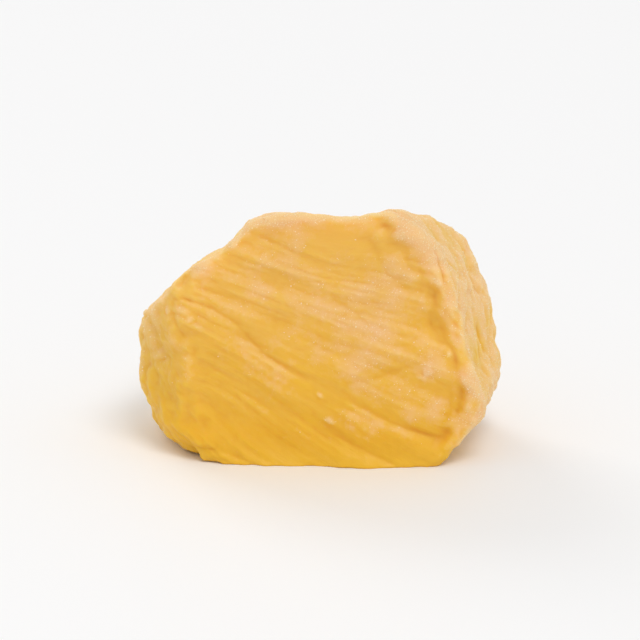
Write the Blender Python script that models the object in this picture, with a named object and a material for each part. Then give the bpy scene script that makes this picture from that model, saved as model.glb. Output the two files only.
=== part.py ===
"""One chunk of dried, sugared pineapple, cut by hand from a ring and lying on its lower side.

The broad cut face looks along -Y, the core of the fruit was off to the left, and the origin
is at the middle of the box on the surface that the chunk lies on. Metres, +Z up.
"""

import math
from collections import namedtuple

import bmesh
import bpy
from mathutils import Vector, noise

MM = 0.001

# Outer size of the finished chunk
LENGTH = 18.0 * MM
DEPTH = 11.5 * MM
HEIGHT = 12.5 * MM

# Knife cuts that shape it: where each one faces, in degrees round from +X and up from level,
# and how far it lies from the middle
Cut = namedtuple("Cut", "yaw pitch reach")
CUTS = {
    "broad front face": Cut(-92, 5, 5.5 * MM),
    "broad back face": Cut(86, 2, 5.4 * MM),
    "top": Cut(93, 68, 6.5 * MM),
    "top, left": Cut(160, 42, 6.65 * MM),
    "underside": Cut(0, -90, 6.2 * MM),
    "right end, upper": Cut(-3, 40, 9.1 * MM),
    "right end": Cut(-12, 11, 8.8 * MM),
    "right end, lower": Cut(-8, -36, 9.2 * MM),
    "right end, back": Cut(42, 4, 8.2 * MM),
    "left end": Cut(176, -8, 8.6 * MM),
    "left end, lower": Cut(202, -48, 8.9 * MM),
    "left end, front": Cut(-145, 2, 8.5 * MM),
    "left end, back": Cut(128, -20, 7.9 * MM),
}

# Rounding of the cut edges: a higher power gives a crisper edge
EDGE_POWER = 15.0
EDGE_POWER_CHANGE = 3.0
EDGE_PATCH_WIDTH = 5.0 * MM

# Shrinkage in drying: the faces sink between their rims, and everything goes uneven
FACE_SINK = 0.3 * MM
LUMP = 0.42 * MM
LUMP_WIDTH = 5.5 * MM
PUCKER = 0.17 * MM
PUCKER_WIDTH = 2.1 * MM

# Fibres run out from the core, whose line lies along Y to the left of the chunk
CORE_X = -27.0 * MM
CORE_Z = 15.0 * MM
FIBRE_RELIEF = 0.2 * MM
FIBRE_WIDTH = 1.25 * MM
FIBRE_LENGTH = 11.0 * MM
CREASE_DEPTH = 0.16 * MM
CREASE_WIDTH = 2.2 * MM
CREASE_LENGTH = 11.0 * MM
CREASE_SHARPNESS = 5.5
END_GRAIN = 0.3

# Where each kind of unevenness is read from the noise, in its own widths
LUMP_PLACE = Vector((0.0, 0.0, 0.0))
PUCKER_PLACE = Vector((14.3, 4.8, 9.5))
EDGE_PATCH_PLACE = Vector((7.1, 3.3, 5.7))
FIBRE_PLACE = Vector((0.0, 0.0, 0.0))
CREASE_PLACE = Vector((4.2, 1.7, 8.4))

# Hollows: the dip in the top edge, a dent near the left end, and a scoop behind, where an eye
# of the fruit was cut out
Hollow = namedtuple("Hollow", "x y z width depth")
HOLLOWS = (
    Hollow(1.0 * MM, -4.0 * MM, 6.4 * MM, 2.3 * MM, 0.7 * MM),
    Hollow(-5.2 * MM, -4.8 * MM, -2.6 * MM, 2.2 * MM, 0.5 * MM),
    Hollow(5.0 * MM, 5.2 * MM, 0.4 * MM, 2.6 * MM, 0.9 * MM),
)

# Flat spot that the chunk rests on, cut this far into the uneven underside
REST_CUT = 0.6 * MM

# Side of one cell of the mesh
CELL = 0.52 * MM

# Finish of the fruit
HONEY_YELLOW = (0.82, 0.47, 0.09, 1.0)
SUGARED_ROUGHNESS = 0.55


def facing(cut):
    """Unit vector that a cut faces along."""
    yaw = math.radians(cut.yaw)
    pitch = math.radians(cut.pitch)
    level = math.cos(pitch)
    return Vector((level * math.cos(yaw), level * math.sin(yaw), math.sin(pitch)))


def unevenness(point, width, place):
    """Even noise from about -1 to 1, in lumps as wide as asked."""
    return noise.noise(point / width + place)


def cut_body(direction, planes):
    """Point, normal and rim weight of the body that the cuts leave, out along a direction.

    The rim weight is 0 in the middle of a cut face and about 1 on an edge between two.
    """
    patch = unevenness(direction * HEIGHT, EDGE_PATCH_WIDTH, EDGE_PATCH_PLACE)
    power = EDGE_POWER + EDGE_POWER_CHANGE * patch
    shares = [max(0.0, plane.dot(direction)) ** power for plane in planes]
    total = sum(shares)
    point = direction * total ** (-1.0 / power)
    normal = Vector()
    same = 0.0
    for plane, share in zip(planes, shares):
        weight = share / total
        normal += plane * weight
        same += weight * weight
    rim = min(1.0, 2.0 * (1.0 - same))
    return point, normal.normalized(), rim


def from_core(point):
    """The way out from the line of the core to a point, square to that line."""
    return Vector((point.x - CORE_X, 0.0, point.z - CORE_Z))


def along_fibres(point, width, length):
    """The point in steps across and along the fibres, which run out from the core."""
    outward = from_core(point)
    around = math.atan2(outward.z, outward.x) * abs(CORE_X)
    return Vector((around / width, point.y / width, outward.length / length))


def side_grain(point, normal):
    """1 where a face shows the fibres lengthwise, falling to END_GRAIN where it cuts them across."""
    return 1.0 - (1.0 - END_GRAIN) * from_core(point).normalized().dot(normal) ** 2


def fibre_relief(point, normal):
    """Ridges of the fibre bundles, and the few deep creases between them."""
    ridge = noise.noise(along_fibres(point, FIBRE_WIDTH, FIBRE_LENGTH) + FIBRE_PLACE)
    fold = noise.noise(along_fibres(point, CREASE_WIDTH, CREASE_LENGTH) + CREASE_PLACE)
    crease = max(0.0, 1.0 - abs(fold) * CREASE_SHARPNESS)
    relief = FIBRE_RELIEF * ridge - CREASE_DEPTH * crease * crease
    return relief * side_grain(point, normal)


def hollow_shift(point):
    """How far, and which way, the hollows draw the body in at a point."""
    shift = Vector()
    for hollow in HOLLOWS:
        centre = Vector((hollow.x, hollow.y, hollow.z))
        away = (point - centre).length / hollow.width
        shift -= centre.normalized() * (hollow.depth * math.exp(-away * away))
    return shift


def chunk_point(direction, planes):
    """Surface of the dried chunk, out along a direction from its middle."""
    point, normal, rim = cut_body(direction, planes)
    relief = -FACE_SINK * (1.0 - rim)
    relief += LUMP * unevenness(point, LUMP_WIDTH, LUMP_PLACE)
    relief += PUCKER * unevenness(point, PUCKER_WIDTH, PUCKER_PLACE)
    relief += fibre_relief(point, normal)
    return point + normal * relief + hollow_shift(point)


def box_of_cells():
    """Closed box of the chunk's size whose sides are grids of even cells."""
    bm = bmesh.new()
    bmesh.ops.create_cube(bm, size=1.0)
    sides = (LENGTH, DEPTH, HEIGHT)
    for axis, side in enumerate(sides):
        edges = [e for e in bm.edges if e.verts[0].co[axis] != e.verts[1].co[axis]]
        bmesh.ops.subdivide_edges(bm, edges=edges, cuts=round(side / CELL) - 1, use_grid_fill=True)
    bmesh.ops.scale(bm, vec=sides, verts=bm.verts)
    return bm


def rest_and_centre(bm):
    """Cuts the flat spot underneath, and brings the chunk to its exact size and place."""
    floor = min(v.co.z for v in bm.verts) + REST_CUT
    for vert in bm.verts:
        if vert.co.z < floor:
            vert.co *= floor / vert.co.z
    low = [min(v.co[axis] for v in bm.verts) for axis in range(3)]
    high = [max(v.co[axis] for v in bm.verts) for axis in range(3)]
    for vert in bm.verts:
        share = [(vert.co[axis] - low[axis]) / (high[axis] - low[axis]) for axis in range(3)]
        vert.co = (LENGTH * (share[0] - 0.5), DEPTH * (share[1] - 0.5), HEIGHT * share[2])


def dried_pineapple():
    """Honey-yellow dried fruit, half matt under its sugar."""
    material = bpy.data.materials.new("dried_pineapple")
    material.use_nodes = True
    shader = material.node_tree.nodes["Principled BSDF"]
    shader.inputs["Base Color"].default_value = HONEY_YELLOW
    shader.inputs["Roughness"].default_value = SUGARED_ROUGHNESS
    shader.inputs["Metallic"].default_value = 0.0
    return material


def pineapple_chunk():
    """The chunk as one closed solid."""
    planes = [facing(cut) / cut.reach for cut in CUTS.values()]
    bm = box_of_cells()
    for vert in bm.verts:
        vert.co = chunk_point(vert.co.normalized(), planes)
    rest_and_centre(bm)
    bmesh.ops.recalc_face_normals(bm, faces=bm.faces)
    mesh = bpy.data.meshes.new("pineapple_chunk")
    bm.to_mesh(mesh)
    bm.free()
    mesh.shade_smooth()
    mesh.materials.append(dried_pineapple())
    chunk = bpy.data.objects.new("pineapple_chunk", mesh)
    bpy.context.collection.objects.link(chunk)
    return chunk


def main():
    for old in list(bpy.data.objects):
        bpy.data.objects.remove(old, do_unlink=True)
    pineapple_chunk()


main()
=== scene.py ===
"""Looks of one chunk of dried, sugared pineapple: fibrous flesh, frosted rims and loose sugar."""

import math
from collections import namedtuple

import bmesh
import bpy
import numpy as np
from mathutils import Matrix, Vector, noise


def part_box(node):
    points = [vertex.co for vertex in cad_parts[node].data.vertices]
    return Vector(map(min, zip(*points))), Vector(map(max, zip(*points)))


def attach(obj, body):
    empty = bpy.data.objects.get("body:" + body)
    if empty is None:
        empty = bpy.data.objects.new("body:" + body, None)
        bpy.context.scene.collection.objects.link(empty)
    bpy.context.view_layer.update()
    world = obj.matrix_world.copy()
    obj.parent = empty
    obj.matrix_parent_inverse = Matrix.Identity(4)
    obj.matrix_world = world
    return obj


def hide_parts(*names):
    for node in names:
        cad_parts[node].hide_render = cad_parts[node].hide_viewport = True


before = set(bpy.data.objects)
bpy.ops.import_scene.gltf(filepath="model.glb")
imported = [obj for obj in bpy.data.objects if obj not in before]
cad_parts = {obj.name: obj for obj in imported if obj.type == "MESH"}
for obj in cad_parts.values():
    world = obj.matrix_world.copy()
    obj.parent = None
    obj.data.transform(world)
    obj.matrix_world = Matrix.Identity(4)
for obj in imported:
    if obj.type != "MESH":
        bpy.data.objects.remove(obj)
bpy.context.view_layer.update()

MM = 0.001

# Outer size of the chunk, from its solid
CHUNK_LOW, CHUNK_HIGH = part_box("pineapple_chunk")
LENGTH, DEPTH, HEIGHT = CHUNK_HIGH - CHUNK_LOW

# Knife cuts that shape it: where each one faces, in degrees round from +X and up from level,
# and how far it lies from the middle
Cut = namedtuple("Cut", "yaw pitch reach")
CUTS = {
    "broad front face": Cut(-92, 5, 5.5 * MM),
    "broad back face": Cut(86, 2, 5.4 * MM),
    "top": Cut(93, 68, 6.5 * MM),
    "top, left": Cut(160, 42, 6.65 * MM),
    "underside": Cut(0, -90, 6.2 * MM),
    "right end, upper": Cut(-3, 40, 9.1 * MM),
    "right end": Cut(-12, 11, 8.8 * MM),
    "right end, lower": Cut(-8, -36, 9.2 * MM),
    "right end, back": Cut(42, 4, 8.2 * MM),
    "left end": Cut(176, -8, 8.6 * MM),
    "left end, lower": Cut(202, -48, 8.9 * MM),
    "left end, front": Cut(-145, 2, 8.5 * MM),
    "left end, back": Cut(128, -20, 7.9 * MM),
}

# Rounding of the cut edges: a higher power gives a crisper edge
EDGE_POWER = 15.0
EDGE_POWER_CHANGE = 3.0
EDGE_PATCH_WIDTH = 5.0 * MM

# Shrinkage in drying: the faces sink between their rims, and everything goes uneven
FACE_SINK = 0.3 * MM
LUMP = 0.42 * MM
LUMP_WIDTH = 5.5 * MM
PUCKER = 0.17 * MM
PUCKER_WIDTH = 2.1 * MM

# Fibres run out from the core, whose line lies along Y to the left of the chunk
CORE_X = -27.0 * MM
CORE_Z = 15.0 * MM
FIBRE_RELIEF = 0.2 * MM
FIBRE_WIDTH = 1.25 * MM
FIBRE_LENGTH = 11.0 * MM
CREASE_DEPTH = 0.16 * MM
CREASE_WIDTH = 2.2 * MM
CREASE_LENGTH = 11.0 * MM
CREASE_SHARPNESS = 5.5
END_GRAIN = 0.3

# Where each kind of unevenness is read from the noise, in its own widths
LUMP_PLACE = Vector((0.0, 0.0, 0.0))
PUCKER_PLACE = Vector((14.3, 4.8, 9.5))
EDGE_PATCH_PLACE = Vector((7.1, 3.3, 5.7))
FIBRE_PLACE = Vector((0.0, 0.0, 0.0))
CREASE_PLACE = Vector((4.2, 1.7, 8.4))

# Hollows: the dip in the top edge, a dent near the left end, and a scoop behind, where an eye
# of the fruit was cut out. Their places are measured from the middle of the chunk
Hollow = namedtuple("Hollow", "x y z width depth")
HOLLOWS = (
    Hollow(1.0 * MM, -4.0 * MM, 6.4 * MM, 2.3 * MM, 0.7 * MM),
    Hollow(-5.2 * MM, -4.8 * MM, -2.6 * MM, 2.2 * MM, 0.5 * MM),
    Hollow(5.0 * MM, 5.2 * MM, 0.4 * MM, 2.6 * MM, 0.9 * MM),
)

# Flat spot that the chunk rests on, cut this far into the uneven underside
REST_CUT = 0.6 * MM

# Side of one cell of the surface
CELL = 0.113 * MM

# The sugar stands this far out of the flesh at most
SUGAR_STAND = 0.07 * MM

# Fine surface, which only shows close up: strands of the fibre bundles with grooves between them,
# pits where the bundles are cut across, crumbled rims and the crust of dried syrup
STRAND = 0.055 * MM
STRAND_WIDTH = 0.5 * MM
STRAND_LENGTH = 5.0 * MM
STRAND_CONTRAST = 2.0
STRAND_MIDDLE = 0.5
HAIR = 0.03 * MM
HAIR_WIDTH = 0.22 * MM
HAIR_LENGTH = 2.6 * MM
PIT = 0.35 * MM
PIT_WIDTH = 0.75 * MM
PIT_START = 0.1
PIT_SPREAD = 1.15
CRUMBLE = 0.18 * MM
CRUMBLE_WIDTH = 0.75 * MM
CRUST = 0.03 * MM
CRUST_WIDTH = 0.26 * MM
FINE_PLACE = Vector((31.7, 12.9, 5.1))

# Groove just inside the edges of the right end, where the skin was cut away. Its place, width,
# wander and reach are in skin weight, which goes from 0 beside the end to 1 on it
GROOVE = 0.24 * MM
GROOVE_PLACE = 0.12
GROOVE_WIDTH = 0.09
GROOVE_WANDER = 0.08
GROOVE_REACH = 0.06
GROOVE_STEP = 1.1 * MM
GROOVE_USUAL = 0.8
GROOVE_UNEVEN = 0.8
GROOVE_LOST_ON_TOP = 0.85

# Thin broken wrinkles that run up the right end
WRINKLE = 0.14 * MM
WRINKLE_WIDTH = 1.6 * MM
WRINKLE_DRAWN_OUT = 0.15
WRINKLE_SHARPNESS = 6.0
WRINKLE_FLARE = 1.5
WRINKLE_BEND = 0.45 * MM
WRINKLE_BREAK = 2.6 * MM
WRINKLE_USUAL = 0.3
WRINKLE_UNEVEN = 1.8
WRINKLE_PLACE = Vector((2.6, 9.4, 17.1))

# Small lumps of caked sugar here and there on the faces, with their radius in spacings
CAKE_SPACING = 1.5 * MM
CAKE_SHARE = 0.4
CAKE_CHOICE = 3.7
CAKE_HEIGHT = 0.1 * MM
CAKE_STEEPNESS = 2.0
CAKE_RADIUS = 0.3
CAKE_LEAST_RADIUS = 0.01
CAKE_EDGE = 0.7
CAKE_EDGE_CHANGE = 0.6
CAKE_EDGE_WIDTH = 0.4 * MM

# Crests and dips are found by evening the surface out along its cells, in so many rounds, and
# strands and crests this high count in full
NEAR_ROUNDS = 10
WIDE_ROUNDS = 60
FULL_STRAND = 0.05 * MM
FULL_CREST = 0.25 * MM
PROUD_BY_CREST = 0.6
PROUD_BY_STRAND = 0.4

# Where sugar sticks: upper faces, the end cut across the fibres, strands, crests, cloudy patches
# and caked lumps; on the upper faces its pale colour is also a painted sheen
FROST_AND_SHEEN_UPWARD = 0.5
FROST_END = 0.6
FROST_STRAND = 0.15
FROST_CREST = 0.45
FULLEST_CREST = 1.2
FROST_CLOUDS = 0.8
WIDE_CLOUD = 3.2 * MM
SMALL_CLOUD = 0.9 * MM
FROST_CAKE = 0.8

# Where it is missing: the groove, the wrinkles, the low part, and all of the foot; the barer low
# part is also painted shade
BARE_GROOVE = 0.5
BARE_WRINKLE = 0.4
BARE_AND_SHADED_LOW = 0.5
LOW_HEIGHT = 5.0 * MM
FOOT_HEIGHT = 0.25 * MM
FOOT_FADE = 1.0 * MM

# Where most sugar has stuck: the middle of the front face, its upper right corner, the left and
# the middle of its top edge, its lower right corner, and two places behind. Their places are
# measured from the floor
Patch = namedtuple("Patch", "x y z width weight")
SUGARED = (
    Patch(1.6 * MM, -5.2 * MM, 6.3 * MM, 2.6 * MM, 0.5),
    Patch(5.0 * MM, -4.6 * MM, 10.4 * MM, 2.2 * MM, 0.33),
    Patch(-2.2 * MM, -4.6 * MM, 10.8 * MM, 1.9 * MM, 0.22),
    Patch(0.8 * MM, -4.9 * MM, 9.7 * MM, 1.9 * MM, 0.25),
    Patch(6.1 * MM, -5.0 * MM, 2.6 * MM, 1.9 * MM, 0.75),
    Patch(-3.0 * MM, 5.2 * MM, 6.5 * MM, 2.8 * MM, 0.4),
    Patch(4.5 * MM, 4.5 * MM, 8.5 * MM, 2.4 * MM, 0.4),
)

# Colour of the flesh: honey above, and low down a deeper gold that is painted shade and painted
# glow, with clouds along the border
LOW_SHADE_GOLD = (0.84, 0.485, 0.025, 1.0)
HONEY = (0.86, 0.51, 0.085, 1.0)
HONEY_FROM = 4.5 * MM
HONEY_TO = 11.5 * MM
BORDER_CLOUD = 6.0 * MM
BORDER_CLOUD_WIDTH = 4.0 * MM

# Pale streaks along its fibres, stronger higher up
PALE_STREAK = (0.88, 0.56, 0.15, 1.0)
STREAK_WIDTH = 0.5 * MM
STREAK_LENGTH = 6.0 * MM
STREAK_FROM = 0.42
STREAK_TO = 0.72
STREAK_COVER = 0.15
STREAK_COVER_GAIN = 0.3

# Painted shade: deeper orange painted into its grooves, and a little of it near the floor
SHADE_HONEY = (0.8, 0.38, 0.02, 1.0)
GROOVE_SHADE_FROM = -0.05
GROOVE_SHADE_TO = -0.95
GROOVE_SHADE_COVER = 0.45
FLOOR_SHADE = 0.25
FLOOR_SHADE_HEIGHT = 2.8 * MM

# Sugar too fine to show as grains
FROSTED = (0.9, 0.58, 0.3, 1.0)
DUSTING_WIDTH = 0.3 * MM
DUSTING_MIDDLE = 0.5
DUSTED_FROM = 0.1
DUSTED_TO = 0.9
DUSTED_COVER = 0.85

# Shine of the flesh, bare and frosted, and the hairs and grit in it
BARE_ROUGHNESS = 0.45
DUSTED_ROUGHNESS = 0.75
FLESH_SHINE = 0.35
SYRUP_IOR = 1.45
FINEST_HAIR_WIDTH = 0.13 * MM
FINEST_HAIR_LENGTH = 1.8 * MM
GRIT_WIDTH = 0.09 * MM
GRIT_SHARE = 0.6
BUMP_STRENGTH = 0.4
BUMP_HEIGHT = 0.05 * MM

# Glow of the light inside the flesh, which fades out at the foot
GLOW = 0.9
GLOW_FROM = 0.1 * MM
GLOW_TO = 1.5 * MM
GLOW_REACH = 0.8 * MM
GLOW_COLOURS = (1.0, 0.95, 0.85)

# The sugar itself, dry or wetted by syrup
DRY_SUGAR = (0.96, 0.78, 0.52, 1.0)
SYRUPY_SUGAR = (0.93, 0.67, 0.34, 1.0)
WETTED_WIDTH = 0.35 * MM
WETTED_FROM = 0.35
WETTED_TO = 0.65
DRY_ROUGHNESS = 0.5
WET_ROUGHNESS = 0.3
SUGAR_SHINE = 0.4

# Loose sugar: a dusting of fine grains, and a few larger ones
SUGAR_DUST = {
    "Grains per square metre": 1.1e8,
    "Smallest grain": 0.035 * MM,
    "Largest grain": 0.065 * MM,
    "Seed": 11,
}
SUGAR_GRAINS = {
    "Grains per square metre": 1.4e7,
    "Smallest grain": 0.07 * MM,
    "Largest grain": 0.13 * MM,
    "Seed": 12,
}

# The most grains that the scatter can be asked for, and how strongly they gather in thick frost
DENSEST_SUGAR = 1e10
GATHERING = 2.0

# Each grain is a double pyramid of this many sides and rings, squashed along its axes by shares
# between two limits and turned any way
GRAIN_SIDES = 4
GRAIN_RINGS = 2
FLATTEST_GRAIN = (0.55, 0.6, 0.5)
FULLEST_GRAIN = (1.0, 1.0, 1.0)
FULL_TURNS = (math.tau, math.tau, math.tau)
TURN_SEED = 1
SHAPE_SEED = 2

# Plain floor
FLOOR_REACH = 3.0
FLOOR_WHITE = (0.92, 0.92, 0.925, 1.0)
FLOOR_ROUGHNESS = 0.6

# White light from all round, besides the soft lights
STUDIO_WHITE = (1.0, 1.0, 1.0, 1.0)
STUDIO_STRENGTH = 0.66

# Camera: degrees above level as in the photo, how far off, a long lens, and how far up the chunk
# it aims
CAMERA_PITCH = 16.0
CAMERA_DISTANCE = 0.305
CAMERA_LENS = 350
CAMERA_NEAREST = 0.01
CAMERA_FARTHEST = 10
CAMERA_AIM = 0.47

# Sockets of the Mix node for colours, and of the Random Value node for plain numbers
MIX_FACTOR = 0
MIX_FIRST = 6
MIX_SECOND = 7
MIX_RESULT = 2
RANDOM_LEAST = 2
RANDOM_MOST = 3
RANDOM_NUMBER = 1


def facing(cut):
    """Unit vector that a cut faces along."""
    yaw = math.radians(cut.yaw)
    pitch = math.radians(cut.pitch)
    level = math.cos(pitch)
    return Vector((level * math.cos(yaw), level * math.sin(yaw), math.sin(pitch)))


def unevenness(point, width, place):
    """Even noise from about -1 to 1, in lumps as wide as asked."""
    return noise.noise(point / width + place)


def cut_body(direction, planes):
    """Point, normal, rim and skin weight of the body that the cuts leave, out along a direction.

    The rim weight is 0 in the middle of a cut face and about 1 on an edge between two. The skin
    weight goes from 0 to 1 across the edges of the right end, where the fruit's skin was.
    """
    patch = unevenness(direction * HEIGHT, EDGE_PATCH_WIDTH, EDGE_PATCH_PLACE)
    power = EDGE_POWER + EDGE_POWER_CHANGE * patch
    shares = [max(0.0, plane.dot(direction)) ** power for plane in planes]
    total = sum(shares)
    point = direction * total ** (-1.0 / power)
    normal = Vector()
    same = 0.0
    skin = 0.0
    for name, plane, share in zip(CUTS, planes, shares):
        weight = share / total
        normal += plane * weight
        same += weight * weight
        if name.startswith("right end"):
            skin += weight
    rim = min(1.0, 2.0 * (1.0 - same))
    return point, normal.normalized(), rim, skin


def from_core(point):
    """The way out from the line of the core to a point, square to that line."""
    return Vector((point.x - CORE_X, 0.0, point.z - CORE_Z))


def grain_place(point):
    """The point in metres round the core, along the core and out from it."""
    outward = from_core(point)
    around = math.atan2(outward.z, outward.x) * abs(CORE_X)
    return Vector((around, point.y, outward.length))


def along_fibres(grain, width, length):
    """A grain place in steps across and along the fibres."""
    return Vector((grain.x / width, grain.y / width, grain.z / length))


def side_grain(point, normal):
    """1 where a face shows the fibres lengthwise, down to END_GRAIN where it cuts them across."""
    return 1.0 - (1.0 - END_GRAIN) * from_core(point).normalized().dot(normal) ** 2


def outer_end(point, normal):
    """1 where a face cuts the fibres across and looks away from the core, falling to 0."""
    return max(0.0, from_core(point).normalized().dot(normal)) ** 2


def fibre_relief(grain, sideways):
    """Ridges of the fibre bundles, and the few deep creases between them."""
    ridge = noise.noise(along_fibres(grain, FIBRE_WIDTH, FIBRE_LENGTH) + FIBRE_PLACE)
    fold = noise.noise(along_fibres(grain, CREASE_WIDTH, CREASE_LENGTH) + CREASE_PLACE)
    crease = max(0.0, 1.0 - abs(fold) * CREASE_SHARPNESS)
    return (FIBRE_RELIEF * ridge - CREASE_DEPTH * crease * crease) * sideways


def hollow_shift(point):
    """How far, and which way, the hollows draw the body in at a point."""
    shift = Vector()
    for hollow in HOLLOWS:
        centre = Vector((hollow.x, hollow.y, hollow.z))
        away = (point - centre).length / hollow.width
        shift -= centre.normalized() * (hollow.depth * math.exp(-away * away))
    return shift


def fine_relief(point, grain, sideways, rim):
    """Strands, pits, crumbled rims and syrup crust at a point."""
    strand = noise.noise(along_fibres(grain, STRAND_WIDTH, STRAND_LENGTH) + FINE_PLACE)
    hair = noise.noise(along_fibres(grain, HAIR_WIDTH, HAIR_LENGTH) + FINE_PLACE)
    hole = noise.noise(along_fibres(grain, PIT_WIDTH, STRAND_LENGTH) - FINE_PLACE)
    ridge = abs(strand) * STRAND_CONTRAST - STRAND_MIDDLE
    relief = (STRAND * ridge + HAIR * hair) * sideways
    relief -= PIT * max(0.0, hole - PIT_START) * (PIT_SPREAD - sideways)
    relief += CRUMBLE * rim * unevenness(point, CRUMBLE_WIDTH, FINE_PLACE)
    relief += CRUST * unevenness(point, CRUST_WIDTH, FINE_PLACE)
    return relief


def skin_groove(point, normal, skin):
    """From 0 to about 1: how near a point is to the middle of the groove along the right end.

    The groove wanders, goes in more here and less there, and is shallow on the upper faces.
    """
    wander = GROOVE_WANDER * unevenness(point, GROOVE_STEP, FINE_PLACE)
    across = (skin - GROOVE_PLACE - wander) / GROOVE_WIDTH
    uneven = GROOVE_USUAL + GROOVE_UNEVEN * unevenness(point, GROOVE_STEP, -FINE_PLACE)
    steep = 1.0 - GROOVE_LOST_ON_TOP * max(0.0, normal.z)
    reached = min(1.0, skin / GROOVE_REACH)
    return max(0.0, uneven) * steep * reached * math.exp(-across * across)


def end_wrinkle(point, skin):
    """1 at the bottom of a wrinkle on the right end, falling to 0 at its edges and off the end."""
    bend = WRINKLE_BEND * unevenness(point, WRINKLE_BREAK, -WRINKLE_PLACE)
    drawn = Vector((point.x, point.y + bend, point.z * WRINKLE_DRAWN_OUT))
    fold = abs(unevenness(drawn, WRINKLE_WIDTH, WRINKLE_PLACE))
    broken = WRINKLE_USUAL + WRINKLE_UNEVEN * unevenness(point, WRINKLE_BREAK, WRINKLE_PLACE)
    depth = skin * min(1.0, max(0.0, broken))
    return depth * max(0.0, 1.0 - fold * WRINKLE_SHARPNESS) ** WRINKLE_FLARE


def caked_sugar(point):
    """1 at the middle of a small lump of caked sugar, falling to 0 at its ragged edge."""
    distances, centres = noise.voronoi(point / CAKE_SPACING)
    chance = 0.5 + noise.noise(centres[0] * CAKE_CHOICE + FINE_PLACE)
    if chance > CAKE_SHARE:
        return 0.0
    edge = CAKE_EDGE + CAKE_EDGE_CHANGE * unevenness(point, CAKE_EDGE_WIDTH, FINE_PLACE)
    return max(0.0, 1.0 - distances[0] / max(CAKE_RADIUS * edge, CAKE_LEAST_RADIUS))


FleshPoint = namedtuple("FleshPoint", "place grain end extra")


def flesh_point(direction, planes):
    """The surface out along a direction, with all its relief.

    Besides its place it gives the place in the grain, how far it is the outer end, and the sugar
    that caked lumps add and the groove and the wrinkles take away.
    """
    point, normal, rim, skin = cut_body(direction, planes)
    grain = grain_place(point)
    sideways = side_grain(point, normal)
    cake = caked_sugar(point)
    groove = skin_groove(point, normal, skin)
    wrinkle = end_wrinkle(point, skin)
    relief = -FACE_SINK * (1.0 - rim)
    relief += LUMP * unevenness(point, LUMP_WIDTH, LUMP_PLACE)
    relief += PUCKER * unevenness(point, PUCKER_WIDTH, PUCKER_PLACE)
    relief += fibre_relief(grain, sideways)
    relief += fine_relief(point, grain, sideways, rim)
    relief += CAKE_HEIGHT * min(1.0, CAKE_STEEPNESS * cake)
    relief -= GROOVE * groove + WRINKLE * wrinkle
    place = point + normal * relief + hollow_shift(point)
    extra = FROST_CAKE * cake - BARE_GROOVE * groove - BARE_WRINKLE * wrinkle
    return FleshPoint(place, grain, outer_end(point, normal), extra)


def box_of_cells():
    """Closed box of the chunk's size whose sides are grids of even cells."""
    bm = bmesh.new()
    bmesh.ops.create_cube(bm, size=1.0)
    sides = (LENGTH, DEPTH, HEIGHT)
    for axis, side in enumerate(sides):
        edges = [e for e in bm.edges if e.verts[0].co[axis] != e.verts[1].co[axis]]
        bmesh.ops.subdivide_edges(bm, edges=edges, cuts=round(side / CELL) - 1, use_grid_fill=True)
    bmesh.ops.scale(bm, vec=sides, verts=bm.verts)
    return bm


def rest_and_centre(points):
    """Cuts the flat spot underneath, and brings the points to the chunk's exact size and place.

    Room is left for the sugar to stand out of the flesh, but none below, where it is bare.
    """
    floor = points[:, 2].min() + REST_CUT
    under = points[:, 2] < floor
    points[under] *= (floor / points[under, 2])[:, None]
    low = points.min(0)
    high = points.max(0)
    room = np.array((SUGAR_STAND, SUGAR_STAND, SUGAR_STAND))
    fit_low = np.array(CHUNK_LOW) + room * (1, 1, 0)
    fit_high = np.array(CHUNK_HIGH) - room
    return fit_low + (points - low) / (high - low) * (fit_high - fit_low)


def mesh_edges(mesh):
    """The two points at the ends of each edge of a mesh."""
    edges = np.empty(len(mesh.edges) * 2, np.int32)
    mesh.edges.foreach_get("vertices", edges)
    return edges.reshape(-1, 2)


def mesh_normals(mesh):
    """The way out of a mesh at each of its points."""
    normals = np.empty(len(mesh.vertices) * 3, np.float32)
    mesh.vertex_normals.foreach_get("vector", normals)
    return normals.reshape(-1, 3)


def evened(points, edges, rounds):
    """The points of a mesh evened out along its edges."""
    starts = np.concatenate((edges[:, 0], edges[:, 1]))
    ends = np.concatenate((edges[:, 1], edges[:, 0]))
    count = len(points)
    links = np.bincount(starts, minlength=count)
    for _ in range(rounds):
        points = np.stack([
            np.bincount(starts, points[ends, axis], count) / links for axis in range(3)], 1)
    return points


def strands_and_crests(mesh, places, normals):
    """How far each point stands out of the strands round it, and they out of the face."""
    edges = mesh_edges(mesh)
    near = evened(places, edges, NEAR_ROUNDS)
    wide = evened(near, edges, WIDE_ROUNDS)
    strand = ((places - near) * normals).sum(1) / FULL_STRAND
    crest = ((near - wide) * normals).sum(1) / FULL_CREST
    return strand, crest


def clouds(point):
    """Wide and small cloudy patches in equal shares, from about -1 to 1."""
    wide = unevenness(point, WIDE_CLOUD, FINE_PLACE)
    small = unevenness(point, SMALL_CLOUD, FINE_PLACE)
    return 0.5 * wide + 0.5 * small


def stuck_sugar(places):
    """How much more sugar the patches bring to each point."""
    stuck = np.zeros(len(places))
    for patch in SUGARED:
        away = np.linalg.norm(places - np.array((patch.x, patch.y, patch.z)), axis=1)
        stuck += patch.weight * np.exp(-(away / patch.width) ** 2)
    return stuck


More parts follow.
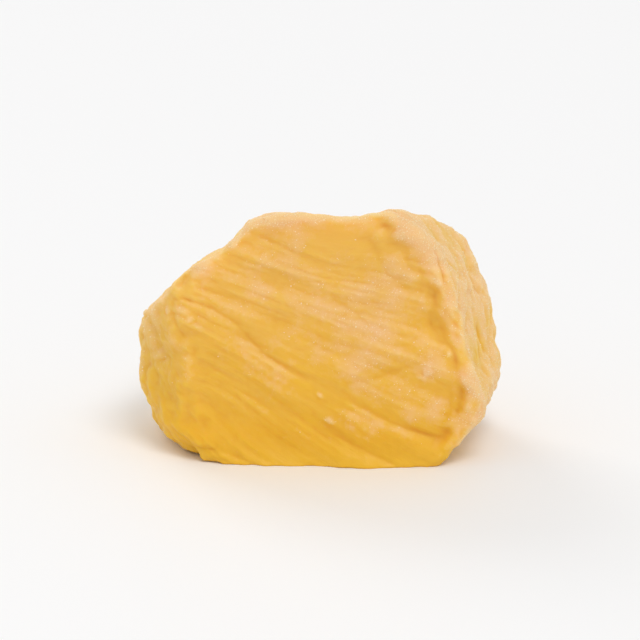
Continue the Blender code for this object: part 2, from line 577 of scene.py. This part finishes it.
def frosting(places, normals, strand, crest, ends, extra):
    """How much sugar each point carries, from 0 to 1.

    Sugar sits on rims, crests, upper faces and the end that was cut across the fibres, there is
    little low down and none underneath. The paler upper faces are partly painted sheen, and the
    barer low part partly painted shade.
    """
    upward = np.clip(normals[:, 2], 0, 1)
    cloudy = np.array([clouds(Vector(place)) for place in places])
    # Upper faces carry more frost, which is sugar and also painted sheen; the low part carries
    # less, which is also painted shade
    frost = FROST_AND_SHEEN_UPWARD * upward + FROST_END * ends + FROST_STRAND * strand
    frost += FROST_CREST * np.clip(crest, -1, FULLEST_CREST)
    frost += FROST_CLOUDS * cloudy + stuck_sugar(places) + extra
    low = 1.0 - np.clip(places[:, 2] / LOW_HEIGHT, 0, 1)
    frost -= BARE_AND_SHADED_LOW * low * (1.0 - ends)
    above_foot = np.clip((places[:, 2] - FOOT_HEIGHT) / FOOT_FADE, 0, 1)
    return np.clip(frost, 0, 1) * above_foot


def add_values(mesh, name, values):
    """Keeps one value for each point of a mesh, for its finish to follow."""
    mesh.attributes.new(name, "FLOAT", "POINT").data.foreach_set(
        "value", np.asarray(values, np.float32))


def chunk_flesh():
    """The chunk's surface with all its relief, and what its finish follows at each point."""
    planes = [facing(cut) / cut.reach for cut in CUTS.values()]
    bm = box_of_cells()
    found = [flesh_point(vert.co.normalized(), planes) for vert in bm.verts]
    places = rest_and_centre(np.array([tuple(one.place) for one in found]))
    for vert, place in zip(bm.verts, places):
        vert.co = place
    bmesh.ops.recalc_face_normals(bm, faces=bm.faces)
    mesh = bpy.data.meshes.new("chunk_flesh")
    bm.to_mesh(mesh)
    bm.free()
    mesh.shade_smooth()
    grains = np.array([tuple(one.grain) for one in found], np.float32)
    mesh.attributes.new("grain", "FLOAT_VECTOR", "POINT").data.foreach_set(
        "vector", grains.ravel())
    ends = np.array([one.end for one in found])
    extra = np.array([one.extra for one in found])
    normals = mesh_normals(mesh)
    strand, crest = strands_and_crests(mesh, places, normals)
    proud = PROUD_BY_CREST * crest + PROUD_BY_STRAND * strand
    add_values(mesh, "proud", np.clip(proud, -1, 1))
    add_values(mesh, "frost", frosting(places, normals, strand, crest, ends, extra))
    chunk = bpy.data.objects.new("chunk_flesh", mesh)
    bpy.context.scene.collection.objects.link(chunk)
    return chunk


def set_inputs(made, inputs):
    """Links or sets the inputs of a node."""
    for name, value in inputs.items():
        socket = made.inputs[name]
        if isinstance(value, bpy.types.NodeSocket):
            made.id_data.links.new(value, socket)
        else:
            socket.default_value = value


def node(tree, kind, inputs=None, **settings):
    """Adds a node, sets it up, and links or sets its inputs."""
    made = tree.nodes.new(kind)
    for name, value in settings.items():
        setattr(made, name, value)
    set_inputs(made, inputs or {})
    return made


def mix_colour(tree, factor, first, second):
    """Blend of two colours."""
    mix = node(tree, "ShaderNodeMix", {
        MIX_FACTOR: factor, MIX_FIRST: first, MIX_SECOND: second}, data_type="RGBA")
    return mix.outputs[MIX_RESULT]


def maths(tree, operation, first, second=0.0, clamp=False):
    """One step of arithmetic."""
    made = node(tree, "ShaderNodeMath", {0: first, 1: second}, operation=operation)
    made.use_clamp = clamp
    return made.outputs[0]


def steps(tree, value, low, high):
    """A value stretched from between low and high to between 0 and 1."""
    made = node(tree, "ShaderNodeMapRange", {"Value": value, "From Min": low, "From Max": high})
    return made.outputs["Result"]


def between(tree, share, low, high):
    """A value that goes from low to high as a share goes from 0 to 1."""
    made = node(tree, "ShaderNodeMapRange", {"Value": share, "To Min": low, "To Max": high})
    return made.outputs["Result"]


def speckle(tree, place, size, detail=3.0, roughness=0.6):
    """Noise with lumps of a size, in the same units as the place."""
    made = node(tree, "ShaderNodeTexNoise", {
        "Vector": place, "Scale": 1.0 / size, "Detail": detail, "Roughness": roughness})
    return made.outputs["Fac"]


def fibre_speckle(tree, grain, width, length, detail):
    """Noise with lumps that are drawn out along the fibres."""
    scale = Vector((1.0 / width, 1.0 / width, 1.0 / length))
    scaled = node(tree, "ShaderNodeMapping", {"Vector": grain, "Scale": scale})
    return speckle(tree, scaled.outputs["Vector"], 1.0, detail)


def point_value(tree, name, output="Fac"):
    """What the mesh keeps under a name at each of its points."""
    return node(tree, "ShaderNodeAttribute", attribute_name=name).outputs[output]


def new_material(name):
    """A fresh material and its shader."""
    material = bpy.data.materials.new(name)
    material.use_nodes = True
    return material, material.node_tree.nodes["Principled BSDF"]


def flesh_colour(tree, place, height, grain, proud):
    """Honey with painted shade, a deeper gold low down and deeper orange in the grooves and near
    the floor, streaked along the fibres.
    """
    cloud = speckle(tree, place, BORDER_CLOUD_WIDTH)
    level = maths(tree, "ADD", height, maths(tree, "MULTIPLY", cloud, BORDER_CLOUD))
    level = steps(tree, level, HONEY_FROM, HONEY_TO)
    # Painted shade and painted glow: the lower part is painted a deeper gold
    honey = mix_colour(tree, level, LOW_SHADE_GOLD, HONEY)
    streak = fibre_speckle(tree, grain, STREAK_WIDTH, STREAK_LENGTH, detail=4.0)
    cover = maths(tree, "ADD", maths(tree, "MULTIPLY", level, STREAK_COVER_GAIN), STREAK_COVER)
    streak = maths(tree, "MULTIPLY", steps(tree, streak, STREAK_FROM, STREAK_TO), cover)
    streaked = mix_colour(tree, streak, honey, PALE_STREAK)
    # Painted shade: deeper orange in the grooves and dips, and near the floor
    groove_shade = maths(tree, "MULTIPLY", steps(tree, proud, GROOVE_SHADE_FROM, GROOVE_SHADE_TO), GROOVE_SHADE_COVER)
    floor_shade = maths(tree, "MULTIPLY", steps(tree, height, FLOOR_SHADE_HEIGHT, 0.0), FLOOR_SHADE)
    deep = maths(tree, "ADD", groove_shade, floor_shade, clamp=True)
    return mix_colour(tree, deep, streaked, SHADE_HONEY)


def sugar_dusting(tree, place, frost):
    """From 0 to 1: how thickly the finest sugar covers the flesh."""
    dusting = speckle(tree, place, DUSTING_WIDTH, detail=5.0, roughness=0.7)
    dusted = maths(tree, "ADD", frost, maths(tree, "SUBTRACT", dusting, DUSTING_MIDDLE))
    return steps(tree, dusted, DUSTED_FROM, DUSTED_TO)


def hairs_and_grit(tree, place, grain):
    """Normal of the finest hairs along the fibres and the grit of syrup."""
    hairs = fibre_speckle(tree, grain, FINEST_HAIR_WIDTH, FINEST_HAIR_LENGTH, detail=3.0)
    grit = speckle(tree, place, GRIT_WIDTH, detail=2.0)
    relief = maths(tree, "ADD", hairs, maths(tree, "MULTIPLY", grit, GRIT_SHARE))
    bump = node(tree, "ShaderNodeBump", {
        "Height": relief, "Strength": BUMP_STRENGTH, "Distance": BUMP_HEIGHT})
    return bump.outputs["Normal"]


def flesh_material():
    """Translucent honey-yellow flesh: painted shade golden low down and deeper in its grooves,
    streaked, frosted with sugar that is partly painted sheen on its upper faces.
    """
    material, shader = new_material("pineapple_flesh")
    tree = material.node_tree
    grain = point_value(tree, "grain", "Vector")
    proud = point_value(tree, "proud")
    frost = point_value(tree, "frost")
    place = node(tree, "ShaderNodeTexCoord").outputs["Object"]
    height = node(tree, "ShaderNodeSeparateXYZ", {"Vector": place}).outputs["Z"]
    colour = flesh_colour(tree, place, height, grain, proud)
    dusted = sugar_dusting(tree, place, frost)
    cover = maths(tree, "MULTIPLY", dusted, DUSTED_COVER)
    set_inputs(shader, {
        "Base Color": mix_colour(tree, cover, colour, FROSTED),
        "Roughness": between(tree, dusted, BARE_ROUGHNESS, DUSTED_ROUGHNESS),
        "Normal": hairs_and_grit(tree, place, grain),
        "Subsurface Weight": maths(
            tree, "MULTIPLY", steps(tree, height, GLOW_FROM, GLOW_TO), GLOW),
        "Subsurface Radius": GLOW_COLOURS,
        "Subsurface Scale": GLOW_REACH,
        "IOR": SYRUP_IOR,
        "Specular IOR Level": FLESH_SHINE,
    })
    return material


def sugar_material():
    """Pale sugar, whiter where it is dry and stained honey where syrup has wetted it."""
    material, shader = new_material("sugar")
    tree = material.node_tree
    place = node(tree, "ShaderNodeTexCoord").outputs["Object"]
    wetted = speckle(tree, place, WETTED_WIDTH, detail=4.0)
    wetted = steps(tree, wetted, WETTED_FROM, WETTED_TO)
    set_inputs(shader, {
        "Base Color": mix_colour(tree, wetted, DRY_SUGAR, SYRUPY_SUGAR),
        "Roughness": between(tree, wetted, DRY_ROUGHNESS, WET_ROUGHNESS),
        "IOR": SYRUP_IOR,
        "Specular IOR Level": SUGAR_SHINE,
    })
    return material


def sugar_sockets(tree):
    """Names what goes into the sugar tree and what comes out."""
    face = tree.interface
    face.new_socket("Geometry", in_out="INPUT", socket_type="NodeSocketGeometry")
    density = face.new_socket(
        "Grains per square metre", in_out="INPUT", socket_type="NodeSocketFloat")
    density.max_value = DENSEST_SUGAR
    face.new_socket("Smallest grain", in_out="INPUT", socket_type="NodeSocketFloat")
    face.new_socket("Largest grain", in_out="INPUT", socket_type="NodeSocketFloat")
    face.new_socket("Seed", in_out="INPUT", socket_type="NodeSocketInt")
    face.new_socket("Geometry", in_out="OUTPUT", socket_type="NodeSocketGeometry")


def grain_scale(tree, given):
    """Size of each grain along its three axes."""
    size = node(tree, "FunctionNodeRandomValue", {
        RANDOM_LEAST: given["Smallest grain"], RANDOM_MOST: given["Largest grain"]},
        data_type="FLOAT")
    shape = node(tree, "FunctionNodeRandomValue", {
        "Min": FLATTEST_GRAIN, "Max": FULLEST_GRAIN, "Seed": SHAPE_SEED},
        data_type="FLOAT_VECTOR")
    scale = node(tree, "ShaderNodeVectorMath", {
        0: shape.outputs[0], "Scale": size.outputs[RANDOM_NUMBER]}, operation="SCALE")
    return scale.outputs[0]


def sugar_tree(material):
    """Geometry Nodes that scatter grains of sugar over the frosted places."""
    tree = bpy.data.node_groups.new("sugar_grains", "GeometryNodeTree")
    sugar_sockets(tree)
    given = node(tree, "NodeGroupInput").outputs
    frost = node(tree, "GeometryNodeInputNamedAttribute", {"Name": "frost"}, data_type="FLOAT")
    share = maths(tree, "POWER", frost.outputs["Attribute"], GATHERING)
    spread = maths(tree, "MULTIPLY", share, given["Grains per square metre"])
    points = node(tree, "GeometryNodeDistributePointsOnFaces", {
        "Mesh": given["Geometry"], "Density": spread, "Seed": given["Seed"]})
    turn = node(tree, "FunctionNodeRandomValue", {
        "Min": (0.0, 0.0, 0.0), "Max": FULL_TURNS, "Seed": TURN_SEED}, data_type="FLOAT_VECTOR")
    grain = node(tree, "GeometryNodeMeshUVSphere", {
        "Segments": GRAIN_SIDES, "Rings": GRAIN_RINGS, "Radius": 0.5})
    placed = node(tree, "GeometryNodeInstanceOnPoints", {
        "Points": points.outputs["Points"], "Instance": grain.outputs["Mesh"],
        "Rotation": turn.outputs[0], "Scale": grain_scale(tree, given)})
    real = node(tree, "GeometryNodeRealizeInstances", {"Geometry": placed.outputs[0]})
    finished = node(tree, "GeometryNodeSetMaterial", {
        "Geometry": real.outputs[0], "Material": material})
    node(tree, "NodeGroupOutput", {"Geometry": finished.outputs[0]})
    return tree


def scatter_sugar(chunk, tree, name, values):
    """Loose sugar of one size over the chunk, as one mesh."""
    modifier = chunk.modifiers.new("sugar", "NODES")
    modifier.node_group = tree
    for item in tree.interface.items_tree:
        if item.item_type == "SOCKET" and item.in_out == "INPUT" and item.name in values:
            modifier[item.identifier] = values[item.name]
    depsgraph = bpy.context.evaluated_depsgraph_get()
    mesh = bpy.data.meshes.new_from_object(chunk.evaluated_get(depsgraph), depsgraph=depsgraph)
    chunk.modifiers.remove(modifier)
    mesh.name = name
    sugar = bpy.data.objects.new(name, mesh)
    bpy.context.scene.collection.objects.link(sugar)
    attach(sugar, "root")


def pale_floor():
    """Plain pale surface that the chunk lies on."""
    mesh = bpy.data.meshes.new("floor")
    ways = ((-1, -1), (1, -1), (1, 1), (-1, 1))
    corners = [(x * FLOOR_REACH, y * FLOOR_REACH, 0) for x, y in ways]
    mesh.from_pydata(corners, [], [(0, 1, 2, 3)])
    material, shader = new_material("floor")
    set_inputs(shader, {"Base Color": FLOOR_WHITE, "Roughness": FLOOR_ROUGHNESS})
    mesh.materials.append(material)
    floor = bpy.data.objects.new("floor", mesh)
    bpy.context.scene.collection.objects.link(floor)


def softbox(name, place, aim, size, power, colour):
    """Square soft light at a place, turned to its aim."""
    light = bpy.data.lights.new(name, "AREA")
    light.shape = "SQUARE"
    light.size = size
    light.energy = power
    light.color = colour
    lamp = bpy.data.objects.new(name, light)
    lamp.location = place
    lamp.rotation_euler = (Vector(aim) - Vector(place)).to_track_quat("-Z", "Y").to_euler()
    bpy.context.scene.collection.objects.link(lamp)


def studio():
    """Soft white studio light."""
    world = bpy.data.worlds.new("studio")
    world.use_nodes = True
    background = world.node_tree.nodes["Background"]
    background.inputs["Color"].default_value = STUDIO_WHITE
    background.inputs["Strength"].default_value = STUDIO_STRENGTH
    bpy.context.scene.world = world
    middle = (0.0, 0.0, HEIGHT / 2)
    softbox("key light", place=(0.3, -0.75, 1.15), aim=middle, size=0.6, power=7.2,
            colour=(1.0, 0.99, 0.97))
    softbox("back light", place=(-0.7, 1.1, 0.7), aim=middle, size=0.7, power=5.0,
            colour=(1.0, 1.0, 1.0))


def camera():
    """Camera at the photo's height above level."""
    pitch = math.radians(CAMERA_PITCH)
    lens = bpy.data.cameras.new("camera")
    lens.lens = CAMERA_LENS
    lens.clip_start = CAMERA_NEAREST
    lens.clip_end = CAMERA_FARTHEST
    eye = bpy.data.objects.new("camera", lens)
    aim = Vector((0.0, 0.0, CAMERA_AIM * HEIGHT))
    back = Vector((0.0, -math.cos(pitch), math.sin(pitch)))
    eye.location = aim + back * CAMERA_DISTANCE
    eye.rotation_euler = (-back).to_track_quat("-Z", "Y").to_euler()
    bpy.context.scene.collection.objects.link(eye)
    bpy.context.scene.camera = eye


camera()
studio()
pale_floor()
bpy.context.scene.view_settings.view_transform = "Standard"

flesh = chunk_flesh()
flesh.data.materials.append(flesh_material())
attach(flesh, "root")
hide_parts("pineapple_chunk")

sugar = sugar_tree(sugar_material())
scatter_sugar(flesh, sugar, "sugar_dust", SUGAR_DUST)
scatter_sugar(flesh, sugar, "sugar_grains", SUGAR_GRAINS)
